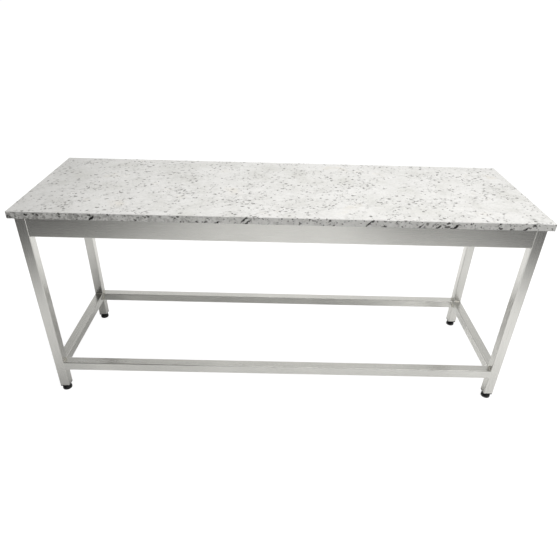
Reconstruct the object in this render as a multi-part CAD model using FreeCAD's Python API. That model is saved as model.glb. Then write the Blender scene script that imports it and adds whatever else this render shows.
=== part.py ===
import FreeCAD, Part
import math
import os

# Weighing balance table: a granite slab bedded on a welded frame of stainless steel tube, on four
# levelling feet. Millimetres, +Z up. The origin is on the floor under the middle of the table.
# X runs along the table from left to right, Y across it from front to rear.

# Granite top
top_length = 2000.0
top_depth = 630.0
top_thickness = 27.0
top_surface_height = 885.0      # floor to polished face, with the feet screwed in
top_arris = 1.5                 # small bevel round the upper face and down the corners
top_overhang = 17.0             # stone past the frame, the same on all four sides

# Rubber strips that the stone is bedded on
bedding_thickness = 2.0
bedding_width = 28.0
bedding_inset = 5.0             # strip's edge back from the outer face of the frame

# Square tube of the legs and lower rails
tube_side = 40.0
tube_wall = 1.5
tube_corner = 3.0               # outer radius of the tube's long edges
least_corner = 0.3              # smallest inner radius, where a thick wall leaves no more
rail_top_height = 162.0         # floor to the upper face of the lower rails
weld_groove = 0.8               # part of the leg's rounded edge that the ground weld leaves free

# Rectangular tube of the aprons under the stone
apron_height = 80.0
apron_thickness = 38.0
apron_wall = 1.5
apron_corner = 2.5
apron_setback = 1.0             # apron's outer face behind the outer face of the legs

# Cross bearers between the front and rear aprons, under the stone
bearer_count = 2
bearer_width = 40.0
bearer_height = 40.0
bearer_wall = 1.5
bearer_corner = 3.0

# Plastic plug in the lower end of each leg
flange_thickness = 5.0
plug_height = 22.0
plug_core_gap = 2.5             # plug's core to the inner wall of the leg
plug_fin_count = 4
plug_fin_thickness = 1.4
plug_fit = 0.1                  # fins to the inner wall of the leg
plug_bore_clearance = 0.6       # plug's bore round the stem

# Hexagonal nut pressed into the top of the plug
nut_flats = 17.0
nut_height = 8.0
nut_fit = 0.1
thread_clearance = 0.1

# Threaded stem of the levelling foot, which turns in the foot's base
stem_diameter = 10.0
stem_length = 62.0              # from the collar's upper face to the end of the thread
stem_end_bevel = 1.0
collar_flats = 17.0
collar_height = 3.0
head_diameter = 15.0
head_height = 2.6
swivel_clearance = 0.3          # between the stem and the base, all round

# Moulded base of the levelling foot, and its rubber sole
base_diameter = 40.0
base_height = 17.0
base_rim_height = 8.5           # straight part of the side
base_rim_bevel = 0.8
base_neck_diameter = 22.0
base_dome = 1.2                 # how far the shoulder swells past a straight cone
sole_diameter = 35.0
sole_thickness = 3.0
sole_proud = 1.0                # rubber below the rim of the base
sole_fit = 0.2
sole_bevel = 0.4
screwed_in_gap = 3.7            # collar to plug with the feet screwed in

# Heights of the levelling foot, from the floor up
base_bottom = sole_proud
base_top = base_bottom + base_height
head_bottom = sole_thickness + swivel_clearance
head_top = head_bottom + head_height
socket_top = head_top + swivel_clearance
collar_bottom = base_top + swivel_clearance
collar_top = collar_bottom + collar_height
flange_bottom = collar_top + screwed_in_gap
leg_bottom = flange_bottom + flange_thickness

# Heights and places of the frame
stone_bottom = top_surface_height - top_thickness
frame_top = stone_bottom - bedding_thickness
frame_half_length = top_length / 2 - top_overhang
frame_half_depth = top_depth / 2 - top_overhang
leg_x = frame_half_length - tube_side / 2
leg_y = frame_half_depth - tube_side / 2
leg_gap_x = 2 * leg_x - tube_side
leg_gap_y = 2 * leg_y - tube_side
rail_z = rail_top_height - tube_side / 2
apron_x = frame_half_length - apron_setback - apron_thickness / 2
apron_y = frame_half_depth - apron_setback - apron_thickness / 2
apron_z = frame_top - apron_height / 2

X_AXIS, Y_AXIS, Z_AXIS = range(3)
LEFT_RIGHT = {"left": -1, "right": 1}
FRONT_REAR = {"front": -1, "rear": 1}
UP = FreeCAD.Vector(0, 0, 1)

pieces = {}


def place(shape, x, y, z):
    """The shape moved from the origin to a point."""
    return shape.translated(FreeCAD.Vector(x, y, z))


def centred_box(size):
    """A box of the given X, Y and Z size round the origin."""
    return Part.makeBox(*size, FreeCAD.Vector(*[-length / 2 for length in size]))


def rounded_bar(size, axis, corner):
    """A centred solid bar whose four edges along one axis are rounded."""
    bar = centred_box(size)
    long_edges = [edge for edge in bar.Edges if abs(edge.tangentAt(edge.FirstParameter)[axis]) > 0.5]
    return bar.makeFillet(corner, long_edges)


def tube(size, axis, wall, corner):
    """A centred hollow tube, open at both ends, with rounded long edges."""
    inner_size = [length if i == axis else length - 2 * wall for i, length in enumerate(size)]
    inner_corner = max(corner - wall, least_corner)
    return rounded_bar(size, axis, corner).cut(rounded_bar(inner_size, axis, inner_corner))


def turned(profile):
    """A solid of revolution round Z from a closed run of (radius, height) points.

    A step given as a pair of points is an arc through the first of them to the second.
    """
    def point(radius, height):
        return FreeCAD.Vector(radius, 0, height)

    edges = []
    start = point(*profile[0])
    for step in profile[1:] + [profile[0]]:
        if isinstance(step[0], tuple):
            middle, end = point(*step[0]), point(*step[1])
            edges.append(Part.Arc(start, middle, end).toShape())
        else:
            end = point(*step)
            edges.append(Part.makeLine(start, end))
        start = end
    return Part.Face(Part.Wire(edges)).revolve(FreeCAD.Vector(0, 0, 0), UP, 360)


def hexagon(across_flats, height):
    """A hexagonal prism standing on the origin."""
    radius = across_flats / math.sqrt(3)
    angles = [math.radians(60 * i) for i in range(7)]
    points = [FreeCAD.Vector(radius * math.cos(a), radius * math.sin(a), 0) for a in angles]
    return Part.Face(Part.makePolygon(points)).extrude(UP * height)


def upright(diameter, bottom, top):
    """A cylinder round Z between two heights."""
    return Part.makeCylinder(diameter / 2, top - bottom, FreeCAD.Vector(0, 0, bottom))


# Granite slab, with its upper edges and its four corners bevelled
slab = centred_box((top_length, top_depth, top_thickness))
slab_edges = [edge for edge in slab.Edges if edge.BoundBox.ZMax > 0]
pieces["granite_top"] = place(
    slab.makeChamfer(top_arris, slab_edges), 0, 0, stone_bottom + top_thickness / 2
)


# Legs: the full height from the plug's flange to the bedding strips. Beside each leg's outline, the
# quarter of it that faces the middle of the table is kept square, for cutting the rails' ends.
leg_height = frame_top - leg_bottom
leg_z = leg_bottom + leg_height / 2
leg_size = (tube_side, tube_side, leg_height)
leg_tube = tube(leg_size, Z_AXIS, tube_wall, tube_corner)
leg_outline = rounded_bar(leg_size, Z_AXIS, tube_corner)
inner_quarter = centred_box((tube_side / 2, tube_side / 2, leg_height))
quarter_x = leg_x - tube_side / 4
quarter_y = leg_y - tube_side / 4
rail_end_cutters = []
for y_name, y_side in FRONT_REAR.items():
    for x_name, x_side in LEFT_RIGHT.items():
        pieces[f"leg_{y_name}_{x_name}"] = place(leg_tube, x_side * leg_x, y_side * leg_y, leg_z)
        rail_end_cutters.append(place(leg_outline, x_side * leg_x, y_side * leg_y, leg_z))
        rail_end_cutters.append(place(inner_quarter, x_side * quarter_x, y_side * quarter_y, leg_z))


# Lower rails: flush with the legs. The weld on the outer side of each joint, ground flat, carries
# the rail's faces over the rounded edge of the leg, so the rail's end takes the leg's outline.
weld_reach = tube_corner - weld_groove
rail_along_x = tube((leg_gap_x + 2 * weld_reach, tube_side, tube_side), X_AXIS, tube_wall, tube_corner)
rail_along_y = tube((tube_side, leg_gap_y + 2 * weld_reach, tube_side), Y_AXIS, tube_wall, tube_corner)
for name, side in FRONT_REAR.items():
    pieces[f"lower_rail_{name}"] = place(rail_along_x, 0, side * leg_y, rail_z).cut(rail_end_cutters)
for name, side in LEFT_RIGHT.items():
    pieces[f"lower_rail_{name}"] = place(rail_along_y, side * leg_x, 0, rail_z).cut(rail_end_cutters)


# Aprons: deeper tubes between the legs, just under the stone
apron_along_x = tube((leg_gap_x, apron_thickness, apron_height), X_AXIS, apron_wall, apron_corner)
apron_along_y = tube((apron_thickness, leg_gap_y, apron_height), Y_AXIS, apron_wall, apron_corner)
for name, side in FRONT_REAR.items():
    pieces[f"apron_{name}"] = place(apron_along_x, 0, side * apron_y, apron_z)
for name, side in LEFT_RIGHT.items():
    pieces[f"apron_{name}"] = place(apron_along_y, side * apron_x, 0, apron_z)


# Cross bearers: spaced evenly between the side aprons, their upper faces level with the frame
bearer_length = 2 * apron_y - apron_thickness
bearer_pitch = 2 * apron_x / (bearer_count + 1)
bearer_places = [bearer_pitch * (i + 1) - apron_x for i in range(bearer_count)]
bearer = tube((bearer_width, bearer_length, bearer_height), Y_AXIS, bearer_wall, bearer_corner)
for number, x in enumerate(bearer_places, start=1):
    pieces[f"cross_bearer_{number}"] = place(bearer, x, 0, frame_top - bearer_height / 2)


# Rubber bedding: one strip along each apron, over the legs at front and rear, and one per bearer
strip_z = frame_top + bedding_thickness / 2
strip_x = frame_half_length - bedding_inset - bedding_width / 2
strip_y = frame_half_depth - bedding_inset - bedding_width / 2
long_strip = centred_box((2 * strip_x + bedding_width, bedding_width, bedding_thickness))
short_strip = centred_box((bedding_width, 2 * strip_y - bedding_width, bedding_thickness))
for name, side in FRONT_REAR.items():
    pieces[f"bedding_strip_{name}"] = place(long_strip, 0, side * strip_y, strip_z)
for name, side in LEFT_RIGHT.items():
    pieces[f"bedding_strip_{name}"] = place(short_strip, side * strip_x, 0, strip_z)
for number, x in enumerate(bearer_places, start=1):
    pieces[f"bedding_strip_bearer_{number}"] = place(short_strip, x, 0, strip_z)


# Plug for the leg's lower end: a flange as wide as the tube, and a finned core up inside it
def leg_plug():
    """Plug round Z with its flange at flange_bottom, a bore for the stem and a pocket for the nut."""
    tube_inside = tube_side - 2 * tube_wall
    inner_corner = max(tube_corner - tube_wall, least_corner)
    fin_side = tube_inside - 2 * plug_fit
    core_side = tube_inside - 2 * plug_core_gap
    flange = rounded_bar((tube_side, tube_side, flange_thickness), Z_AXIS, tube_corner)
    core = rounded_bar((core_side, core_side, plug_height), Z_AXIS, inner_corner)
    fin = rounded_bar((fin_side, fin_side, plug_fin_thickness), Z_AXIS, inner_corner)
    parts = [place(core, 0, 0, leg_bottom + plug_height / 2)]
    fin_pitch = (plug_height - plug_fin_thickness) / plug_fin_count
    for i in range(plug_fin_count):
        fin_z = leg_bottom + plug_height - plug_fin_thickness / 2 - fin_pitch * i
        parts.append(place(fin, 0, 0, fin_z))
    bore = upright(stem_diameter + 2 * plug_bore_clearance, flange_bottom, leg_bottom + plug_height)
    pocket = place(hexagon(nut_flats + 2 * nut_fit, nut_height), 0, 0, nut_bottom)
    body = place(flange, 0, 0, flange_bottom + flange_thickness / 2).fuse(parts).removeSplitter()
    return body.cut([bore, pocket])


# Nut in the plug's pocket, level with the top of the plug
def plug_nut():
    """Hexagonal nut round Z with the stem's running clearance in its bore."""
    bore = upright(stem_diameter + 2 * thread_clearance, nut_bottom, nut_bottom + nut_height)
    return place(hexagon(nut_flats, nut_height), 0, 0, nut_bottom).cut(bore)


# Stem: a head held in the base's socket, a spanner collar over the base, and the thread
def foot_stem():
    """Stem round Z: head, neck, hexagonal collar and threaded shank in one solid."""
    shank_top = collar_top + stem_length
    radius = stem_diameter / 2
    shank = turned([
        (0, head_bottom),
        (head_diameter / 2, head_bottom),
        (head_diameter / 2, head_top),
        (radius, head_top),
        (radius, shank_top - stem_end_bevel),
        (radius - stem_end_bevel, shank_top),
        (0, shank_top),
    ])
    collar = place(hexagon(collar_flats, collar_height), 0, 0, collar_bottom)
    return shank.fuse(collar).removeSplitter()


# Base: a round moulding with a straight rim and a domed shoulder, hollow below for stem and sole
def foot_base():
    """Base round Z with a socket for the stem's head and a recess for the sole."""
    outer = base_diameter / 2
    neck = base_neck_diameter / 2
    socket = head_diameter / 2 + swivel_clearance
    bore = stem_diameter / 2 + swivel_clearance
    recess = sole_diameter / 2 + sole_fit
    rim_top = base_bottom + base_rim_height
    shoulder = ((outer + neck) / 2 + base_dome, (rim_top + base_top) / 2 + base_dome)
    return turned([
        (recess, base_bottom),
        (outer - base_rim_bevel, base_bottom),
        (outer, base_bottom + base_rim_bevel),
        (outer, rim_top),
        (shoulder, (neck, base_top)),
        (bore, base_top),
        (bore, socket_top),
        (socket, socket_top),
        (socket, sole_thickness),
        (recess, sole_thickness),
    ])


# Sole: a rubber disc in the base's recess, standing just proud of the rim
def foot_sole():
    """Rubber disc round Z with a bevelled lower edge."""
    radius = sole_diameter / 2
    return turned([
        (0, 0),
        (radius - sole_bevel, 0),
        (radius, sole_bevel),
        (radius, sole_thickness),
        (0, sole_thickness),
    ])


nut_bottom = leg_bottom + plug_height - nut_height
foot_pieces = {
    "leg_plug": leg_plug(),
    "plug_nut": plug_nut(),
    "foot_stem": foot_stem(),
    "foot_base": foot_base(),
    "foot_sole": foot_sole(),
}
for y_name, y_side in FRONT_REAR.items():
    for x_name, x_side in LEFT_RIGHT.items():
        for name, shape in foot_pieces.items():
            pieces[f"{name}_{y_name}_{x_name}"] = place(shape, x_side * leg_x, y_side * leg_y, 0)


os.makedirs("parts", exist_ok=True)
for name, shape in pieces.items():
    shape.exportStep(f"parts/{name}.step")
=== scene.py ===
import math

import bmesh
import bpy
import numpy as np
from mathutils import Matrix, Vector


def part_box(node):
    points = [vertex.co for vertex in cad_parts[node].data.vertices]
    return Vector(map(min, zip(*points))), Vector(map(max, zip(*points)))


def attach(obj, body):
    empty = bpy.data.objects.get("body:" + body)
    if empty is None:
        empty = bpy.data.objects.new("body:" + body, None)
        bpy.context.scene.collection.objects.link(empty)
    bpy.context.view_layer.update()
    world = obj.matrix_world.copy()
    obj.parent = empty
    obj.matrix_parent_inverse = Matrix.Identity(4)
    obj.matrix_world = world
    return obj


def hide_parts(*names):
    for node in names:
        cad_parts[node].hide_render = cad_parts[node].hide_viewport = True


# Weighing balance table, in metres: +Z up, X along the table, Y from its front to its rear.
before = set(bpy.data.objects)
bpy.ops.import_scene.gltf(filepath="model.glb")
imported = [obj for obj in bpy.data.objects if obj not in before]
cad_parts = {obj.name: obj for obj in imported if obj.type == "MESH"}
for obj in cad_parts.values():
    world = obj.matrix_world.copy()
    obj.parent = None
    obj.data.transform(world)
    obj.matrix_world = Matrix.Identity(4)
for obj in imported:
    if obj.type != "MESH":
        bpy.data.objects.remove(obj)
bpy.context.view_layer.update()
collection = bpy.context.scene.collection


# Camera: at a standing person's eye height in front of the table, a little left of its middle,
# looking down on it.
SENSOR_WIDTH = 36.0                             # millimetres
LENS = 31.4773
CAMERA_PLACE = (-0.02502, -1.94143, 1.61468)
CAMERA_TURN = (58.6171, -1.4304, 0.1182)        # degrees
camera_data = bpy.data.cameras.new("camera")
camera_data.sensor_width = SENSOR_WIDTH
camera_data.lens = LENS
camera = bpy.data.objects.new("camera", camera_data)
camera.location = CAMERA_PLACE
camera.rotation_euler = [math.radians(angle) for angle in CAMERA_TURN]
collection.objects.link(camera)
bpy.context.scene.camera = camera
bpy.context.scene.view_settings.view_transform = "Standard"


# Studio: a soft room light, brightest behind the table, with a wide soft box above the table's
# right half and a large fill panel in front of its right end. The pale floor's colour is painted
# darker, as painted shade, out past the corners of the table, so its reflection fades up the legs
# and out along the aprons.
def colour(hex_code):
    """Linear RGBA of an sRGB hex colour."""
    channels = np.array([int(hex_code[i:i + 2], 16) for i in (0, 2, 4)]) / 255
    linear = np.where(channels <= 0.04045, channels / 12.92, ((channels + 0.055) / 1.055) ** 2.4)
    return (*(float(channel) for channel in linear), 1.0)


def add(tree, kind, sockets=None, stops=None, **settings):
    """Adds a node of that kind to a node tree, with its settings, and gives it back.

    sockets maps the name or number of an input to a value, to a node, whose first output is
    linked, or to an output. stops are the (position, colour) pairs of a colour ramp.
    """
    node = tree.nodes.new("ShaderNode" + kind)
    for name, value in settings.items():
        setattr(node, name, value)
    for name, value in (sockets or {}).items():
        socket = [s for i, s in enumerate(node.inputs) if s.enabled and name in (s.name, i)][0]
        if isinstance(value, bpy.types.Node):
            value = [output for output in value.outputs if output.enabled][0]
        if isinstance(value, bpy.types.NodeSocket):
            tree.links.new(value, socket)
        else:
            socket.default_value = value
    if stops:
        while len(node.color_ramp.elements) < len(stops):
            node.color_ramp.elements.new(1.0)
        for element, (position, value) in zip(node.color_ramp.elements, stops):
            element.position = position
            element.color = value
    return node


ROOM_HORIZON = 0.21     # light that comes from the level of the horizon
ROOM_OVERHEAD = 0.6     # added straight overhead
ROOM_REAR = 0.38        # added straight behind the table
LOW_TILT = 0.8          # share of it that comes from low down on both sides
world = bpy.data.worlds.new("studio")
bpy.context.scene.world = world
world.use_nodes = True
tree = world.node_tree
tree.nodes.clear()
direction = add(tree, "SeparateXYZ", {0: add(tree, "TexCoord").outputs["Generated"]})
overhead = add(tree, "Math", {0: direction.outputs["Z"], 1: 0.0}, operation="MAXIMUM")
rear = add(tree, "Math", {0: direction.outputs["Y"], 1: 0.0}, operation="MAXIMUM")
room = add(tree, "Math", {0: overhead, 1: ROOM_OVERHEAD, 2: ROOM_HORIZON}, operation="MULTIPLY_ADD")
room = add(tree, "Math", {0: rear, 1: ROOM_REAR, 2: room}, operation="MULTIPLY_ADD")
# The walls are lighter than the ceiling.
walls = add(tree, "MapRange", {
    "Value": overhead, "From Min": 0.3, "From Max": 0.75, "To Min": 1.4, "To Max": 0.86,
}, interpolation_type="SMOOTHSTEP")
# The upper part of the room is darker to the left.
tilt = add(tree, "MapRange", {
    "Value": direction.outputs["X"], "From Min": -0.55, "From Max": 0.1, "To Min": 0.68, "To Max": 1.05,
}, interpolation_type="SMOOTHSTEP")
above = add(tree, "MapRange", {
    "Value": overhead, "From Min": 0.36, "From Max": 0.5,
}, interpolation_type="SMOOTHSTEP")
tilt = add(tree, "Mix", {"Factor": above, "A": LOW_TILT, "B": tilt})
# High up at both sides it is darker too.
high_aside = add(tree, "Math", {0: direction.outputs["X"]}, operation="ABSOLUTE")
high_aside = add(tree, "Math", {0: high_aside, 1: overhead}, operation="MULTIPLY")
high_aside = add(tree, "MapRange", {
    "Value": high_aside, "From Min": 0.165, "From Max": 0.22, "To Min": 1.0, "To Max": 0.76,
}, interpolation_type="SMOOTHSTEP")
# In front of the table the room is dark to the left and lit to the right.
front = add(tree, "MapRange", {"Value": direction.outputs["Y"], "From Min": 0.0, "From Max": -0.5})
front_left = add(tree, "MapRange", {
    "Value": direction.outputs["X"], "From Min": -0.3, "From Max": 0.4, "To Min": 0.82, "To Max": -0.3,
})
front = add(tree, "Math", {0: front, 1: front_left}, operation="MULTIPLY")
front = add(tree, "Math", {0: 1.0, 1: front}, operation="SUBTRACT")
for factor in (walls, tilt, high_aside, front):
    room = add(tree, "Math", {0: room, 1: factor}, operation="MULTIPLY")
room_light = add(tree, "Background", {"Color": colour("fffffd"), "Strength": room})
backdrop = add(tree, "Background", {"Color": colour("ffffff"), "Strength": 1.0})
seen = add(tree, "LightPath").outputs["Is Camera Ray"]
mixed = add(tree, "MixShader", {0: seen, 1: room_light, 2: backdrop})
add(tree, "OutputWorld", {"Surface": mixed})


def area_light(name, width, depth, power, place, turn):
    """A rectangular lamp of that width and depth, its three turns in degrees."""
    light = bpy.data.lights.new(name, "AREA")
    light.shape = "RECTANGLE"
    light.size = width
    light.size_y = depth
    light.energy = power
    lamp = bpy.data.objects.new(name, light)
    lamp.location = place
    lamp.rotation_euler = [math.radians(angle) for angle in turn]
    collection.objects.link(lamp)
    return lamp


area_light("soft_box", 2.6, 1.6, 53.0, (0.55, -0.25, 2.8), (0.0, 10.0, 0.0))
fill_panel = area_light("fill_panel", 2.8, 2.8, 24.0, (3.0, -2.6, 1.8), (77.0, 0.0, 44.0))
# It only fills the shade, so that the polished stone doesn't mirror it as a white patch.
fill_panel.visible_glossy = False

FLOOR_HALF = 90.0
floor_mesh = bpy.data.meshes.new("studio_floor")
corners = [(x * FLOOR_HALF, y * FLOOR_HALF, 0.0) for x, y in ((-1, -1), (1, -1), (1, 1), (-1, 1))]
floor_mesh.from_pydata(corners, [], [(0, 1, 2, 3)])
floor = bpy.data.objects.new("studio_floor", floor_mesh)
collection.objects.link(floor)


def new_material(name):
    """An empty node material."""
    material = bpy.data.materials.new(name)
    material.use_nodes = True
    material.node_tree.nodes.clear()
    return material


def profile(tree, value, lowest, highest, pairs):
    """Straight lines through pairs of a place, from lowest to highest, and a level up to 2."""
    along = add(tree, "MapRange", {"Value": value, "From Min": lowest, "From Max": highest})
    line = add(tree, "ValToRGB", {"Fac": along}, stops=[
        ((reached - lowest) / (highest - lowest), (level / 2.0, level / 2.0, level / 2.0, 1.0))
        for reached, level in pairs
    ])
    return add(tree, "Math", {0: line, 1: 2.0}, operation="MULTIPLY")


FLOOR_LIT = 0.9                 # how much lighter the painted pool of light makes the floor near the table than far out
FLOOR_DARK = 0.19
PAINTED_LEG_GLOW = (0.86, 0.28, 0.0)    # painted glow where light falls in past the rear right leg
floor_material = new_material("pale_studio_floor")
tree = floor_material.node_tree
floor_point = add(tree, "TexCoord").outputs["Object"]
place = add(tree, "SeparateXYZ", {0: floor_point})
aside = add(tree, "Math", {0: place.outputs["X"]}, operation="ABSOLUTE")
ahead = add(tree, "Math", {0: place.outputs["Y"]}, operation="ABSOLUTE")
# A painted pool of light in the floor's colour, with its lighter arms straight out to all four sides of the
# table.
corner = add(tree, "Math", {0: ahead, 1: 1.3}, operation="POWER")
corner = add(tree, "Math", {0: corner, 1: aside}, operation="MULTIPLY")
painted_light_pool = add(tree, "MapRange", {
    "Value": corner, "From Min": 1.6, "From Max": 4.2, "To Min": 1.0, "To Max": 0.0,
})
painted_light_pool = add(tree, "Math", {0: painted_light_pool, 1: 1.5}, operation="POWER")
painted_light_pool = add(tree, "Math", {0: painted_light_pool, 1: FLOOR_LIT, 2: FLOOR_DARK}, operation="MULTIPLY_ADD")
middle = add(tree, "MapRange", {
    "Value": aside, "From Max": 0.75, "To Min": 0.04, "To Max": 0.0,
}, interpolation_type="SMOOTHSTEP")
painted_light_pool = add(tree, "Math", {0: painted_light_pool, 1: middle})
# It is painted a little lighter to the right and behind the table, and darker close in front of it, as
# painted light and shade.
sideways = add(tree, "Math", {0: place.outputs["X"], 1: 0.02, 2: 1.0}, operation="MULTIPLY_ADD")
near = add(tree, "MapRange", {
    "Value": place.outputs["Y"], "From Min": -1.3, "From Max": -0.35, "To Min": 1.0, "To Max": 0.9,
}, interpolation_type="SMOOTHSTEP")
behind = add(tree, "MapRange", {
    "Value": place.outputs["Y"], "From Min": 0.3, "From Max": 1.5, "To Min": 1.0, "To Max": 1.35,
}, interpolation_type="SMOOTHSTEP")
painted_glow = add(tree, "VectorMath", {0: floor_point, 1: PAINTED_LEG_GLOW}, operation="DISTANCE")
painted_glow = add(tree, "MapRange", {
    "Value": painted_glow.outputs["Value"], "From Min": 0.08, "From Max": 0.28, "To Min": 1.2, "To Max": 1.0,
}, interpolation_type="SMOOTHSTEP")
# Far out in front, the painted light falls off unevenly to the right.
uneven = profile(tree, place.outputs["X"], 0.4, 2.2, (
    (0.5, 1.0), (0.72, 0.93), (0.92, 0.76), (1.1, 0.9), (1.27, 1.14), (1.65, 1.5), (1.8, 1.5), (2.0, 0.8),
))
far_front = add(tree, "MapRange", {"Value": place.outputs["Y"], "From Min": -1.6, "From Max": -1.8})
uneven = add(tree, "Mix", {"Factor": far_front, "A": 1.0, "B": uneven})
# Under the table the floor is painted with shade towards the left and light towards the right.
shade = profile(tree, place.outputs["X"], -2.0, 2.0, (
    (-1.3, 1.2), (-1.0, 0.8), (-0.93, 0.87), (-0.87, 1.1), (-0.83, 1.1), (-0.72, 1.0), (-0.2, 1.04),
    (0.24, 1.05), (0.35, 1.1), (0.78, 1.7), (0.85, 1.46), (0.95, 1.25), (1.2, 1.0),
))
reach = add(tree, "Math", {0: place.outputs["X"], 1: 0.15, 2: ahead}, operation="MULTIPLY_ADD")
under = add(tree, "MapRange", {
    "Value": reach, "From Min": 0.5, "From Max": 0.15,
}, interpolation_type="SMOOTHSTEP")
shade = add(tree, "Mix", {"Factor": under, "A": 1.0, "B": shade})
# Beyond the table's ends it is painted dark, as painted shade.
ends = add(tree, "MapRange", {
    "Value": aside, "From Min": 1.3, "From Max": 1.8, "To Min": 0.0, "To Max": 0.7,
}, interpolation_type="SMOOTHSTEP")
level_with = add(tree, "MapRange", {
    "Value": ahead, "From Min": 0.9, "From Max": 0.4,
}, interpolation_type="SMOOTHSTEP")
ends = add(tree, "Math", {0: ends, 1: level_with}, operation="MULTIPLY")
ends = add(tree, "Math", {0: 1.0, 1: ends}, operation="SUBTRACT")
for factor in (sideways, near, behind, painted_glow, uneven, shade, ends):
    painted_light_pool = add(tree, "Math", {0: painted_light_pool, 1: factor}, operation="MULTIPLY")
# The floor's colour is the painted light and shade worked out above.
lit = add(tree, "BsdfDiffuse", {"Color": painted_light_pool})
# To the camera the floor is paper, lit beyond white, so that it shows no edge.
paper = add(tree, "BsdfDiffuse", {"Color": colour("8a8a8a")})
white = add(tree, "Emission", {"Color": colour("ffffff"), "Strength": 0.92})
paper = add(tree, "AddShader", {0: paper, 1: white})
seen = add(tree, "LightPath").outputs["Is Camera Ray"]
add(tree, "OutputMaterial", {"Surface": add(tree, "MixShader", {0: seen, 1: lit, 2: paper})})
floor.data.materials.append(floor_material)


# Granite top: a slab of light grey granite, polished on its face and edges, sawn underneath.
# White and grey crystals a few millimetres wide, dark mica flakes in chains and clouds, and on
# the edges, cut across the grain, black seams that slant.
GRANITE_IOR = 1.54
FLAKE_TURN = 0.4        # radians by which the flakes lie askew of the slab's length


def finish_nodes(material, names):
    """Gives CAD nodes that material."""
    for name in names:
        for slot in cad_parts[name].material_slots:
            slot.material = material


def shifted(tree, place, scale, detail, amount):
    """A place moved about by a noise, to make what is drawn there irregular."""
    shift = add(tree, "TexNoise", {"Vector": place, "Scale": scale, "Detail": detail})
    shift = add(tree, "VectorMath", {0: shift.outputs["Color"], 1: (0.5, 0.5, 0.5)}, operation="SUBTRACT")
    shift = add(tree, "VectorMath", {0: shift, "Scale": amount}, operation="SCALE")
    return add(tree, "VectorMath", {0: place, 1: shift})


def crystals(tree, place, scale, tones):
    """Cells of one tone each, the tone picked from a ramp by the cell's random number."""
    cells = add(tree, "TexVoronoi", {"Vector": place, "Scale": scale})
    chance = add(tree, "SeparateColor", {0: cells.outputs["Color"]})
    return add(tree, "ValToRGB", {"Fac": chance}, stops=[(share, colour(tone)) for share, tone in tones])


granite = new_material("polished_granite")
tree = granite.node_tree
place = add(tree, "TexCoord").outputs["Object"]
lengthwise = add(tree, "SeparateXYZ", {0: place}).outputs["X"]
# Crystal outlines wander by 1 mm, and the outlines of flakes by 4 mm.
crystal_place = shifted(tree, place, 260.0, 2.0, 0.004)
flake_place = shifted(tree, place, 110.0, 3.0, 0.016)
# Feldspar crystals of 8 mm with quartz of 3 mm between them, all close in tone.
feldspar = crystals(tree, crystal_place, 125.0, ((0.0, "c5c4c2"), (0.4, "cccbc9"), (1.0, "d3d2d0")))
quartz = crystals(tree, crystal_place, 330.0, ((0.0, "bbbab8"), (0.3, "cac9c7"), (1.0, "d2d1cf")))
body = add(tree, "Mix", {"Factor": 0.4, "A": feldspar, "B": quartz}, data_type="RGBA")
# Clouds a hand wide, a little darker or warmer.
cloud = add(tree, "TexNoise", {"Vector": place, "Scale": 7.0, "Detail": 5.0, "Roughness": 0.6})
cloud = add(tree, "ValToRGB", {"Fac": cloud.outputs["Fac"]}, stops=[
    (0.32, colour("eeeeeb")), (0.45, colour("f8f8f7")), (0.6, colour("ffffff")), (0.72, colour("fbf8f2")),
])
body = add(tree, "Mix", {"Factor": 1.0, "A": body, "B": cloud}, data_type="RGBA", blend_type="MULTIPLY")
# The left end of the slab is painted a little greyer, as painted shade where the light falls off.
painted_shade_left_end = add(tree, "MapRange", {
    "Value": lengthwise, "From Min": -1.0, "From Max": -0.6, "To Min": 0.87, "To Max": 1.0,
}, interpolation_type="SMOOTHSTEP")
body = add(tree, "Mix", {"Factor": 1.0, "A": body, "B": painted_shade_left_end}, data_type="RGBA", blend_type="MULTIPLY")
# Healed cracks: thin grey lines that wind across the slab where a slow noise passes its middle.
crack = add(tree, "Mapping", {
    "Vector": flake_place, "Rotation": (0.0, 0.0, 0.35), "Scale": (0.3, 0.1, 0.1),
}, vector_type="TEXTURE")
crack = add(tree, "TexNoise", {"Vector": crack, "Scale": 1.0, "Detail": 2.0})
crack = add(tree, "Math", {0: crack.outputs["Fac"], 1: 0.5}, operation="SUBTRACT")
crack = add(tree, "Math", {0: crack}, operation="ABSOLUTE")
crack = add(tree, "MapRange", {"Value": crack, "From Max": 0.012, "To Min": 0.22, "To Max": 0.0})
body = add(tree, "Mix", {"Factor": crack, "A": body, "B": colour("8f8e8b")}, data_type="RGBA")
# On the edges, cut across the grain, the ground holds more of the dark minerals. The upright edge faces are
# also painted paler, as painted light.
facing = add(tree, "SeparateXYZ", {0: add(tree, "NewGeometry").outputs["Normal"]})
up_down = add(tree, "Math", {0: facing.outputs["Z"]}, operation="ABSOLUTE")
edge_face = add(tree, "Math", {0: up_down, 1: 0.4}, operation="LESS_THAN")
painted_light_on_edges = add(tree, "Math", {0: edge_face, 1: 0.5}, operation="MULTIPLY")
body = add(tree, "Mix", {"Factor": painted_light_on_edges, "A": body, "B": colour("ecebe8")}, data_type="RGBA")
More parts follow.
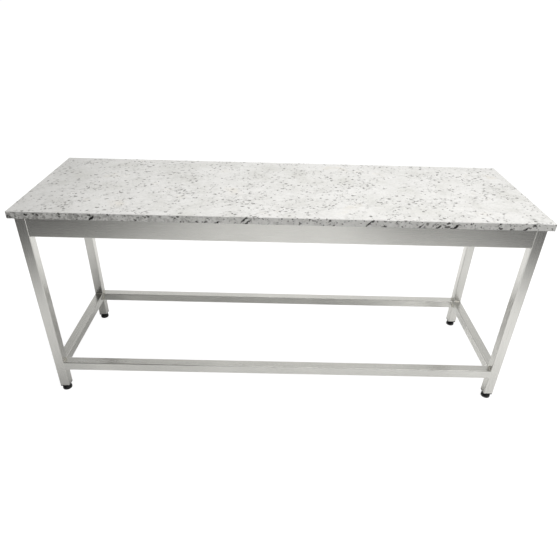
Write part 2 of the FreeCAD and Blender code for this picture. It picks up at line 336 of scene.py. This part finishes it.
# Dark flakes gather in chains round pale grains 35 mm wide, and in clouds 100 mm wide that lie
# askew. Where they crowd, the ground between them is hazed with grey.
grains = add(tree, "TexVoronoi", {"Vector": flake_place, "Scale": 28.0}, feature="DISTANCE_TO_EDGE")
chain = add(tree, "MapRange", {
    "Value": grains.outputs["Distance"], "From Min": 0.1, "From Max": 0.22, "To Min": 1.0, "To Max": 0.18,
})
flake_cloud = add(tree, "Mapping", {
    "Vector": place, "Rotation": (0.0, 0.0, 0.5), "Scale": (0.13, 0.075, 0.075),
}, vector_type="TEXTURE")
flake_cloud = add(tree, "TexNoise", {"Vector": flake_cloud, "Scale": 1.0, "Detail": 4.0, "Roughness": 0.6})
flake_cloud = add(tree, "MapRange", {
    "Value": flake_cloud.outputs["Fac"], "From Min": 0.4, "From Max": 0.64, "To Min": 0.12, "To Max": 1.0,
})
crowding = add(tree, "Math", {0: chain, 1: flake_cloud}, operation="MULTIPLY")
haze = add(tree, "MapRange", {"Value": crowding, "From Min": 0.2, "From Max": 0.9, "To Max": 0.16})
body = add(tree, "Mix", {"Factor": haze, "A": body, "B": colour("95938e")}, data_type="RGBA")
# On the edges a fine grey mottling lies between the flakes; it is thickened towards the left end as painted
# shade.
mottle_and_painted_shade = add(tree, "TexNoise", {"Vector": flake_place, "Scale": 75.0, "Detail": 4.0})
mottle_and_painted_shade = add(tree, "MapRange", {
    "Value": mottle_and_painted_shade.outputs["Fac"], "From Min": 0.46, "From Max": 0.6, "To Max": 0.5,
})
painted_shade_leftward = add(tree, "MapRange", {
    "Value": lengthwise, "From Min": -1.0, "From Max": 0.4, "To Min": 1.6, "To Max": 0.2,
})
mottle_and_painted_shade = add(tree, "Math", {0: mottle_and_painted_shade, 1: painted_shade_leftward}, operation="MULTIPLY")
mottle_and_painted_shade = add(tree, "Math", {0: mottle_and_painted_shade, 1: edge_face}, operation="MULTIPLY")
body = add(tree, "Mix", {"Factor": mottle_and_painted_shade, "A": body, "B": colour("8d8c89")}, data_type="RGBA")


def flakes(size, share, edge_share, softness):
    """Mask of flakes about that wide, in metres, and a random number for each flake.

    A flake is the middle of a Voronoi cell, as wide as the cell's own random number says. The
    share of cells that hold one goes with the crowding, and more of them do on the slab's edges.
    """
    cells = add(tree, "Mapping", {
        "Vector": flake_place, "Rotation": (0.0, 0.0, FLAKE_TURN), "Scale": (1.5 * size, size, size),
    }, vector_type="TEXTURE")
    cells = add(tree, "TexVoronoi", {"Vector": cells, "Scale": 0.75})
    chance = add(tree, "SeparateColor", {0: cells.outputs["Color"]})
    limit = add(tree, "Math", {0: crowding, 1: share}, operation="MULTIPLY")
    limit = add(tree, "Math", {0: edge_face, 1: edge_share, 2: limit}, operation="MULTIPLY_ADD")
    held = add(tree, "Math", {0: chance.outputs["Red"], 1: limit}, operation="LESS_THAN")
    radius = add(tree, "MapRange", {"Value": chance.outputs["Green"], "To Min": 0.22, "To Max": 0.42})
    inside = add(tree, "Math", {0: radius, 1: cells.outputs["Distance"]}, operation="SUBTRACT")
    inside = add(tree, "MapRange", {"Value": inside, "From Min": 0.0, "From Max": softness})
    mask = add(tree, "Math", {0: inside, 1: held}, operation="MULTIPLY")
    return mask, chance.outputs["Blue"]


# Mica and hornblende in many small flakes and fewer large ones.
SMALL_FLAKES = (0.0065, 0.66, 0.55, 0.15)
LARGE_FLAKES = (0.0115, 1.25, 0.14, 0.1)
for kind in (SMALL_FLAKES, LARGE_FLAKES):
    mask, chance = flakes(*kind)
    tone = add(tree, "ValToRGB", {"Fac": chance}, stops=[
        (0.0, colour("373635")), (0.35, colour("5b5a58")), (1.0, colour("8f8e8b")),
    ])
    body = add(tree, "Mix", {"Factor": mask, "A": body, "B": tone}, data_type="RGBA")
# Seams of black tourmaline, 36 mm long and 9 mm thick, that slant up to the right. More of them
# lie towards the right end.
seam_place = add(tree, "Mapping", {
    "Vector": flake_place, "Rotation": (0.0, -0.75, 0.2), "Scale": (0.045, 0.024, 0.011),
}, vector_type="TEXTURE")
seams = add(tree, "TexVoronoi", {"Vector": seam_place, "Scale": 1.0})
seam_chance = add(tree, "SeparateColor", {0: seams.outputs["Color"]})
seam_held = add(tree, "MapRange", {
    "Value": lengthwise, "From Min": -0.4, "From Max": 0.6, "To Min": 0.07, "To Max": 0.19,
})
seam_held = add(tree, "Math", {0: seam_held, 1: edge_face}, operation="MULTIPLY")
seam_held = add(tree, "Math", {0: seam_chance.outputs["Red"], 1: seam_held}, operation="LESS_THAN")
seam = add(tree, "MapRange", {
    "Value": seams.outputs["Distance"], "From Min": 0.28, "From Max": 0.5, "To Min": 1.0, "To Max": 0.0,
})
seam = add(tree, "Math", {0: seam, 1: seam_held}, operation="MULTIPLY")
body = add(tree, "Mix", {"Factor": seam, "A": body, "B": colour("2b2a29")}, data_type="RGBA")
# The large flakes take less of a polish. Underneath, the sawn face is matte.
sawn = add(tree, "Math", {0: facing.outputs["Z"], 1: -0.5}, operation="LESS_THAN")
gloss = add(tree, "MapRange", {"Value": mask, "To Min": 0.1, "To Max": 0.2})
roughness = add(tree, "Mix", {"Factor": sawn, "A": gloss, "B": 0.75})
pits = add(tree, "TexNoise", {"Vector": place, "Scale": 600.0, "Detail": 3.0})
relief = add(tree, "MapRange", {"Value": sawn, "To Min": 0.02, "To Max": 0.5})
bump = add(tree, "Bump", {"Strength": relief, "Distance": 0.0004, "Height": pits.outputs["Fac"]})
surface = add(tree, "BsdfPrincipled", {
    "Base Color": body, "Roughness": roughness, "IOR": GRANITE_IOR, "Normal": bump,
})
add(tree, "OutputMaterial", {"Surface": surface})
finish_nodes(granite, ["granite_top"])


# Frame: legs, lower rails, aprons and cross bearers of stainless steel tube. The mill brushed it
# along its length, so the grain runs along each tube and draws its reflections out across it.
# Where a flush weld was ground off, short strokes of the grinder cross the grain.
TUBE_SIDE = 0.040
RAIL_HEIGHTS = (0.122, 0.162)
LEG_INNER_X = 0.943
LEG_INNER_Y = 0.258
GROUND_PAST = 0.004         # how far past the weld a rail's end is ground
GROUND_FADE = 0.012


def edge_wear(tree, radius):
    """How near a surface is to an outer or inner edge, from 0 to 1.

    It follows one minus the cosine between the true normal and the normal that a bevel of that
    radius would have.
    """
    rounded = add(tree, "Bevel", {"Radius": radius}, samples=6)
    true = add(tree, "NewGeometry").outputs["Normal"]
    same = add(tree, "VectorMath", {0: rounded, 1: true}, operation="DOT_PRODUCT").outputs["Value"]
    return add(tree, "MapRange", {"Value": same, "From Min": 0.98, "From Max": 0.8})


def brushed_tube(name, axis, ground):
    """Satin stainless steel with its grain along one axis.

    ground gives an axis and, as distances along it from the origin, where flush welds were
    ground off.
    """
    material = new_material(name)
    tree = material.node_tree
    place = add(tree, "TexCoord").outputs["Object"]
    # Grain: scratches of 0.2 mm, drawn 0.4 mm wide to show, and about 150 mm long.
    scale = [0.15 if i == axis else 0.0004 for i in range(3)]
    grain = add(tree, "Mapping", {"Vector": place, "Scale": scale}, vector_type="TEXTURE")
    grain = add(tree, "TexNoise", {"Vector": grain, "Scale": 1.0, "Detail": 4.0})
    # The grinder's strokes: 1.5 mm wide and 20 mm long, across the grain.
    strokes = [0.0015 if i == axis else 0.02 for i in range(3)]
    strokes = add(tree, "Mapping", {"Vector": place, "Scale": strokes}, vector_type="TEXTURE")
    strokes = add(tree, "TexNoise", {"Vector": strokes, "Scale": 1.0, "Detail": 4.0})
    across, nearest, farthest = ground
    part_place = add(tree, "SeparateXYZ", {0: place}).outputs["XYZ"[across]]
    distance = add(tree, "Math", {0: part_place}, operation="ABSOLUTE")
    begins = add(tree, "MapRange", {
        "Value": distance, "From Min": nearest - GROUND_FADE, "From Max": nearest,
    }, interpolation_type="SMOOTHSTEP")
    ends = add(tree, "MapRange", {
        "Value": distance, "From Min": farthest, "From Max": farthest + GROUND_FADE,
        "To Min": 1.0, "To Max": 0.0,
    }, interpolation_type="SMOOTHSTEP")
    dressed = add(tree, "Math", {0: begins, 1: ends}, operation="MULTIPLY")
    lines = add(tree, "Mix", {"Factor": dressed, "A": grain.outputs["Fac"], "B": strokes.outputs["Fac"]})
    # Handling leaves faint clouds a hand wide, and rubs the long edges brighter.
    cloud = add(tree, "TexNoise", {"Vector": place, "Scale": 6.0, "Detail": 3.0})
    tone = add(tree, "ValToRGB", {"Fac": cloud.outputs["Fac"]}, stops=[
        (0.3, colour("d1d0cc")), (0.7, colour("d8d7d3")),
    ])
    streak = add(tree, "MapRange", {
        "Value": lines, "From Min": 0.3, "From Max": 0.7, "To Min": 0.983, "To Max": 1.01,
    })
    tone = add(tree, "Mix", {"Factor": 1.0, "A": tone, "B": streak}, data_type="RGBA", blend_type="MULTIPLY")
    worn = edge_wear(tree, 0.002)
    tone = add(tree, "Mix", {"Factor": worn, "A": tone, "B": colour("dfded9")}, data_type="RGBA")
    roughness = add(tree, "MapRange", {
        "Value": lines, "From Min": 0.3, "From Max": 0.7, "To Min": 0.22, "To Max": 0.3,
    })
    polish = add(tree, "Math", {0: worn, 1: -0.05, 2: roughness}, operation="MULTIPLY_ADD")
    # The tube's walls are a little wavy.
    wave = add(tree, "TexNoise", {"Vector": place, "Scale": 14.0, "Detail": 1.0})
    bump = add(tree, "Bump", {"Strength": 0.1, "Distance": 0.002, "Height": wave.outputs["Fac"]})
    bump = add(tree, "Bump", {"Strength": 0.07, "Distance": 0.0002, "Height": lines, "Normal": bump})
    surface = add(tree, "BsdfPrincipled", {
        "Base Color": tone, "Metallic": 1.0, "Roughness": polish, "Normal": bump,
    })
    add(tree, "OutputMaterial", {"Surface": surface})
    return material


X, Y, Z = range(3)
BEYOND = 1.0                # past every end of the frame
tube_finishes = (
    ("stainless_brushed_along_x", X, (X, LEG_INNER_X - GROUND_PAST, BEYOND), (
        "lower_rail_front", "lower_rail_rear", "apron_front", "apron_rear",
    )),
    ("stainless_brushed_along_y", Y, (Y, LEG_INNER_Y - GROUND_PAST, BEYOND), (
        "lower_rail_left", "lower_rail_right", "apron_left", "apron_right",
        "cross_bearer_1", "cross_bearer_2",
    )),
    ("stainless_brushed_along_z", Z, (Z, *RAIL_HEIGHTS), (
        "leg_front_left", "leg_front_right", "leg_rear_left", "leg_rear_right",
    )),
)
for name, axis, ground, nodes in tube_finishes:
    finish_nodes(brushed_tube(name, axis, ground), nodes)


# Weld beads: a small fillet of weld metal in each inner corner of the frame that isn't ground
# flush, laid by hand in overlapping ripples of about 2 mm and left with a faint heat tint.
BEAD_LEG = 0.0035           # the bead's reach up each of the two faces it joins
BEAD_BITE = 0.0001          # how far its skin lies inside them
BEAD_ROOT = 0.0006          # how deep its root lies behind the corner
BEAD_BULGE = 0.0005
BEAD_BLUNT = 0.98           # how far its ends are rounded off, from 0 to 1
RIPPLE_PITCH = 0.0018
RIPPLE_HEIGHT = 0.00022
RIPPLE_BEND = 1.6           # how many ripples the sides of the bead lag behind its middle
ROWS_PER_RIPPLE = 6
ROUND_EDGE = 0.004          # what a bead leaves free at the tube's rounded edges
BEAD_GAP = 0.002            # what it leaves free at the top and bottom of a corner
BEARER_GAP = 0.003          # the same at a bearer
FRAME_TOP = 0.856
BEARER_X = 0.321
BEARER_HALF = 0.020
BEARER_BOTTOM = 0.816
APRON_BOTTOM = 0.776
APRON_INNER_X = 0.944
APRON_INNER_Y = 0.259


def closed_surface(rings):
    """Vertices and faces of a closed skin over rings of points, given as (ring, place, xyz).

    Each ring is joined to the next by four-sided faces, and each end ring to its own middle.
    """
    count, around = rings.shape[:2]
    vertices = np.concatenate([rings.reshape(-1, 3), rings[[0, -1]].mean(axis=1)])
    first = np.arange(around)
    following = (first + 1) % around
    starts = np.arange(count - 1)[:, None] * around
    quads = np.stack([
        starts + first, starts + following, starts + following + around, starts + first + around,
    ], axis=-1).reshape(-1, 4)
    middle = count * around
    last = (count - 1) * around
    fans = np.concatenate([
        np.stack([np.full(around, middle), following, first], axis=-1),
        np.stack([np.full(around, middle + 1), last + first, last + following], axis=-1),
    ])
    return vertices, quads.tolist() + fans.tolist()


def make_piece(name, surfaces, material, sharp_degrees):
    """One object at the origin out of closed surfaces, its faces turned outwards."""
    vertices, faces = [], []
    for points, polygons in surfaces:
        offset = sum(len(part) for part in vertices)
        faces += [[offset + corner for corner in polygon] for polygon in polygons]
        vertices.append(points)
    mesh = bpy.data.meshes.new(name)
    mesh.from_pydata(np.concatenate(vertices), [], faces)
    shell = bmesh.new()
    shell.from_mesh(mesh)
    bmesh.ops.recalc_face_normals(shell, faces=shell.faces)
    shell.to_mesh(mesh)
    shell.free()
    mesh.shade_smooth()
    mesh.set_sharp_from_angle(angle=math.radians(sharp_degrees))
    mesh.materials.append(material)
    piece = bpy.data.objects.new(name, mesh)
    collection.objects.link(piece)
    return piece


def weld_bead(start, end, out_of_first, out_of_second):
    """A rippled fillet along the corner line from start to end, between two faces.

    Across the bead, from 0 on the first face to 1 on the second, a point is the corner plus the
    leg length times (1 - v) of one face's direction and v of the other's, pushed out along
    their sum by a half sine of the bulge and the ripple. The ripple rises as a saw tooth along
    the bead, bent back as the square of the distance from its middle. Both ends round off as
    the fourth root of one minus the eighth power of the distance from the bead's middle.
    """
    start, end = np.array(start), np.array(end)
    first, second = np.array(out_of_first, float), np.array(out_of_second, float)
    length = np.linalg.norm(end - start)
    steps = int(length / RIPPLE_PITCH * ROWS_PER_RIPPLE) + 2
    u = np.linspace(-1.0, 1.0, steps)
    v = np.linspace(0.0, 1.0, 9)
    along, across = np.meshgrid(u, v, indexing="ij")
    size = BEAD_LEG * (1.0 - np.abs(along) ** 8 * BEAD_BLUNT) ** 0.25
    phase = (along + 1.0) / 2.0 * length / RIPPLE_PITCH - RIPPLE_BEND * (2.0 * across - 1.0) ** 2
    rise = np.sin(np.pi * across) * size / BEAD_LEG * (BEAD_BULGE + RIPPLE_HEIGHT * (phase % 1.0))
    spine = start + (end - start) * ((along + 1.0) / 2.0)[..., None]
    skin = (
        spine
        + (size * (1.0 - across) - BEAD_BITE)[..., None] * first
        + (size * across - BEAD_BITE)[..., None] * second
        + rise[..., None] * (first + second) / math.sqrt(2.0)
    )
    root = spine[:, :1] - BEAD_ROOT * (first + second)
    return closed_surface(np.concatenate([skin, root], axis=1))


weld_metal = new_material("stainless_weld_metal")
tree = weld_metal.node_tree
place = add(tree, "TexCoord").outputs["Object"]
tint = add(tree, "TexNoise", {"Vector": place, "Scale": 180.0, "Detail": 2.0})
tone = add(tree, "ValToRGB", {"Fac": tint.outputs["Fac"]}, stops=[
    (0.3, colour("c6c5c1")), (0.5, colour("cbc7bb")), (0.62, colour("bfbcba")), (0.75, colour("b3b5bb")),
])
roughness = add(tree, "MapRange", {"Value": tint.outputs["Fac"], "To Min": 0.22, "To Max": 0.4})
scale_marks = add(tree, "TexNoise", {"Vector": place, "Scale": 1400.0, "Detail": 2.0})
bump = add(tree, "Bump", {"Strength": 0.2, "Distance": 0.0001, "Height": scale_marks.outputs["Fac"]})
surface = add(tree, "BsdfPrincipled", {
    "Base Color": tone, "Metallic": 1.0, "Roughness": roughness, "Normal": bump,
})
add(tree, "OutputMaterial", {"Surface": surface})

SIDES_X = {"left": -1, "right": 1}
SIDES_Y = {"front": -1, "rear": 1}
for y_name, sy in SIDES_Y.items():
    for x_name, sx in SIDES_X.items():
        inward_x, inward_y = (-sx, 0, 0), (0, -sy, 0)
        leg_x, leg_y = sx * LEG_INNER_X, sy * LEG_INNER_Y
        beads = []
        for height, out in ((RAIL_HEIGHTS[0], -1), (RAIL_HEIGHTS[1], 1), (APRON_BOTTOM, -1)):
            nearest, farthest = ROUND_EDGE, TUBE_SIDE - ROUND_EDGE
            beads.append(weld_bead(
                (leg_x, leg_y + sy * nearest, height), (leg_x, leg_y + sy * farthest, height),
                inward_x, (0, 0, out),
            ))
            beads.append(weld_bead(
                (leg_x + sx * nearest, leg_y, height), (leg_x + sx * farthest, leg_y, height),
                inward_y, (0, 0, out),
            ))
        rail_corner = (leg_x, leg_y, RAIL_HEIGHTS)
        apron_corner = (sx * APRON_INNER_X, sy * APRON_INNER_Y, (APRON_BOTTOM, FRAME_TOP))
        for x, y, (lowest, highest) in (rail_corner, apron_corner):
            beads.append(weld_bead(
                (x, y, lowest + BEAD_GAP), (x, y, highest - BEAD_GAP), inward_x, inward_y,
            ))
        welds = make_piece(f"weld_beads_{y_name}_{x_name}", beads, weld_metal, 60)
        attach(welds, "frame_and_top")
for number, middle in enumerate((-BEARER_X, BEARER_X), start=1):
    beads = []
    for sy in SIDES_Y.values():
        face, inward_y = sy * APRON_INNER_Y, (0, -sy, 0)
        half = BEARER_HALF - BEARER_GAP
        beads.append(weld_bead(
            (middle - half, face, BEARER_BOTTOM), (middle + half, face, BEARER_BOTTOM),
            inward_y, (0, 0, -1),
        ))
        for sx in SIDES_X.values():
            side = middle + sx * BEARER_HALF
            beads.append(weld_bead(
                (side, face, BEARER_BOTTOM + BEARER_GAP), (side, face, FRAME_TOP - BEARER_GAP),
                inward_y, (sx, 0, 0),
            ))
    welds = make_piece(f"weld_beads_bearer_{number}", beads, weld_metal, 60)
    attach(welds, "frame_and_top")


# Bedding strips: black sponge rubber 2 mm thick, cut from a roll, stuck to the frame under the
# stone. Matte, with the fine pores of the cut edge.
sponge = new_material("black_sponge_rubber")
tree = sponge.node_tree
place = add(tree, "TexCoord").outputs["Object"]
pores = add(tree, "TexVoronoi", {"Vector": place, "Scale": 1300.0})
dust = add(tree, "TexNoise", {"Vector": place, "Scale": 30.0, "Detail": 4.0})
tone = add(tree, "ValToRGB", {"Fac": dust.outputs["Fac"]}, stops=[
    (0.35, colour("1c1c1c")), (0.7, colour("2b2a29")),
])
roughness = add(tree, "MapRange", {"Value": dust.outputs["Fac"], "To Min": 0.75, "To Max": 0.95})
bump = add(tree, "Bump", {"Strength": 0.4, "Distance": 0.0003, "Height": pores.outputs["Distance"]})
surface = add(tree, "BsdfPrincipled", {
    "Base Color": tone, "Roughness": roughness, "IOR": 1.52, "Normal": bump,
})
add(tree, "OutputMaterial", {"Surface": surface})
finish_nodes(sponge, [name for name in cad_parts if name.startswith("bedding_strip_")])


# Leg plugs and foot bases: injection moulded nylon, black, with a low gloss from the mould and a
# faint grain, scuffed grey along the rims that meet the floor, a spanner or the packing.
nylon = new_material("moulded_black_nylon")
tree = nylon.node_tree
place = add(tree, "TexCoord").outputs["Object"]
flow = add(tree, "TexNoise", {"Vector": place, "Scale": 60.0, "Detail": 4.0})
tone = add(tree, "ValToRGB", {"Fac": flow.outputs["Fac"]}, stops=[
    (0.3, colour("0f0f10")), (0.7, colour("19191a")),
])
scuffs = add(tree, "TexNoise", {"Vector": place, "Scale": 500.0, "Detail": 4.0})
scuffs = add(tree, "MapRange", {
    "Value": scuffs.outputs["Fac"], "From Min": 0.5, "From Max": 0.65, "To Max": 0.5,
})
scuffed = add(tree, "Math", {0: edge_wear(tree, 0.0012), 1: scuffs}, operation="MULTIPLY")
tone = add(tree, "Mix", {"Factor": scuffed, "A": tone, "B": colour("58575a")}, data_type="RGBA")
roughness = add(tree, "MapRange", {
    "Value": flow.outputs["Fac"], "From Min": 0.3, "From Max": 0.7, "To Min": 0.24, "To Max": 0.36,
})
roughness = add(tree, "Math", {0: scuffed, 1: 0.4, 2: roughness}, operation="MULTIPLY_ADD")
mould_grain = add(tree, "TexNoise", {"Vector": place, "Scale": 2500.0, "Detail": 2.0})
bump = add(tree, "Bump", {"Strength": 0.15, "Distance": 0.00008, "Height": mould_grain.outputs["Fac"]})
surface = add(tree, "BsdfPrincipled", {
    "Base Color": tone, "Roughness": roughness, "IOR": 1.53, "Normal": bump,
})
add(tree, "OutputMaterial", {"Surface": surface})
finish_nodes(nylon, [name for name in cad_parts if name.startswith(("leg_plug_", "foot_base_"))])


# Plug nuts: pressed steel, zinc plated, pushed into the plug before it goes up the leg. Cloudy
# silver with a slight blue.
zinc = new_material("zinc_plated_nut")
tree = zinc.node_tree
place = add(tree, "TexCoord").outputs["Object"]
plating = add(tree, "TexNoise", {"Vector": place, "Scale": 350.0, "Detail": 4.0})
tone = add(tree, "ValToRGB", {"Fac": plating.outputs["Fac"]}, stops=[
    (0.3, colour("b4b9c0")), (0.6, colour("c8ccd1")), (0.8, colour("d0cfc4")),
])
roughness = add(tree, "MapRange", {"Value": plating.outputs["Fac"], "To Min": 0.25, "To Max": 0.5})
bump = add(tree, "Bump", {"Strength": 0.2, "Distance": 0.0001, "Height": plating.outputs["Fac"]})
surface = add(tree, "BsdfPrincipled", {
    "Base Color": tone, "Metallic": 1.0, "Roughness": roughness, "Normal": bump,
})
add(tree, "OutputMaterial", {"Surface": surface})
finish_nodes(zinc, [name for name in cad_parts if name.startswith("plug_nut_")])


# Stems: an M10 screw with a flat head that turns in the foot's base, a hexagonal collar for a
# 17 mm spanner and a rolled thread of 1.5 mm pitch, blackened in a hot salt bath.
THREAD_PITCH = 0.0015
THREAD_ROOT = 0.00408
THREAD_CREST = 0.005
COLLAR_FLATS = 0.017
# Heights above the floor and radii, up the stem; the collar's radius is its rounded corner.
STEM_LOWER = (
    (0.0033, 0.0071), (0.0037, 0.0075), (0.0055, 0.0075), (0.0059, 0.0071), (0.0059, 0.005),
    (0.0183, 0.005), (0.0183, 0.0084), (0.0189, 0.0096), (0.0207, 0.0096), (0.0213, 0.0084),
    (0.0213, 0.0044), (0.0223, 0.0044),
)
THREAD_START = 0.0224
STEM_TOP = 0.0833
STEM_SIDES = 60
ROWS_PER_TURN = 12
ROOT_FLAT = 0.25            # share of the pitch that is flat at the thread's root
FLANK = 0.625               # share over which it rises and falls again
END_CUT = 0.0001            # how much less than the root's radius the stem has at its very end


def stem_surface(centre_x, centre_y):
    """A closed skin of rings round the stem.

    In the lower part the radius is the profile's, cut down to the hexagon's flats, which is half
    the width across flats over the cosine of the angle from the nearest flat. In the thread it
    goes between root and crest by the share of a turn that height over pitch is ahead of the
    angle, with flats at root and crest, and it narrows to just under the root over the last
    millimetre.
    """
    angle = np.linspace(0.0, 2.0 * np.pi, STEM_SIDES, endpoint=False)
    height, radius = np.array(STEM_LOWER).T[:, :, None]
    from_flat = (angle % (np.pi / 3.0)) - np.pi / 6.0
    lower = np.minimum(radius, COLLAR_FLATS / 2.0 / np.cos(from_flat))
    rows = int((STEM_TOP - THREAD_START) / THREAD_PITCH * ROWS_PER_TURN)
    thread_height = np.linspace(THREAD_START, STEM_TOP, rows)[:, None]
    turn = ((thread_height - THREAD_START) / THREAD_PITCH - angle / (2.0 * np.pi)) % 1.0
    ridge = np.clip((np.abs(2.0 * turn - 1.0) - ROOT_FLAT) / FLANK, 0.0, 1.0)
    begun = np.clip((thread_height - THREAD_START) / THREAD_PITCH, 0.0, 1.0)
    thread = THREAD_ROOT + (THREAD_CREST - THREAD_ROOT) * ridge * begun
    thread = np.minimum(thread, THREAD_ROOT - END_CUT + (STEM_TOP - thread_height))
    radii = np.concatenate([lower, thread])
    heights = np.concatenate([height, thread_height]) + 0.0 * radii
    points = np.stack([
        centre_x + radii * np.cos(angle), centre_y + radii * np.sin(angle), heights,
    ], axis=-1)
    return closed_surface(points)


blackened = new_material("blackened_steel")
tree = blackened.node_tree
place = add(tree, "TexCoord").outputs["Object"]
bath = add(tree, "TexNoise", {"Vector": place, "Scale": 220.0, "Detail": 4.0})
tone = add(tree, "ValToRGB", {"Fac": bath.outputs["Fac"]}, stops=[
    (0.3, colour("2b2a2c")), (0.7, colour("3d3a38")),
])
worn = edge_wear(tree, 0.0004)
tone = add(tree, "Mix", {"Factor": worn, "A": tone, "B": colour("77756f")}, data_type="RGBA")
roughness = add(tree, "MapRange", {"Value": bath.outputs["Fac"], "To Min": 0.3, "To Max": 0.55})
bump = add(tree, "Bump", {"Strength": 0.15, "Distance": 0.0001, "Height": bath.outputs["Fac"]})
surface = add(tree, "BsdfPrincipled", {
    "Base Color": tone, "Metallic": 1.0, "Roughness": roughness, "Normal": bump,
})
add(tree, "OutputMaterial", {"Surface": surface})
for y_name in SIDES_Y:
    for x_name in SIDES_X:
        node = f"foot_stem_{y_name}_{x_name}"
        low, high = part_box(node)
        surfaces = [stem_surface((low.x + high.x) / 2, (low.y + high.y) / 2)]
        stem = make_piece(f"threaded_stem_{y_name}_{x_name}", surfaces, blackened, 25)
        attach(stem, f"stem_{y_name}_{x_name}")
        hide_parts(node)


# Foot soles: discs of black rubber punched from a sheet and pressed into the base, matte and
# dusty from the floor.
sole_rubber = new_material("black_sole_rubber")
tree = sole_rubber.node_tree
place = add(tree, "TexCoord").outputs["Object"]
dust = add(tree, "TexNoise", {"Vector": place, "Scale": 90.0, "Detail": 5.0})
tone = add(tree, "ValToRGB", {"Fac": dust.outputs["Fac"]}, stops=[
    (0.4, colour("191919")), (0.75, colour("3a3835")),
])
roughness = add(tree, "MapRange", {"Value": dust.outputs["Fac"], "To Min": 0.7, "To Max": 0.95})
bump = add(tree, "Bump", {"Strength": 0.3, "Distance": 0.0002, "Height": dust.outputs["Fac"]})
surface = add(tree, "BsdfPrincipled", {
    "Base Color": tone, "Roughness": roughness, "IOR": 1.52, "Normal": bump,
})
add(tree, "OutputMaterial", {"Surface": surface})
finish_nodes(sole_rubber, [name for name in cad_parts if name.startswith("foot_sole_")])
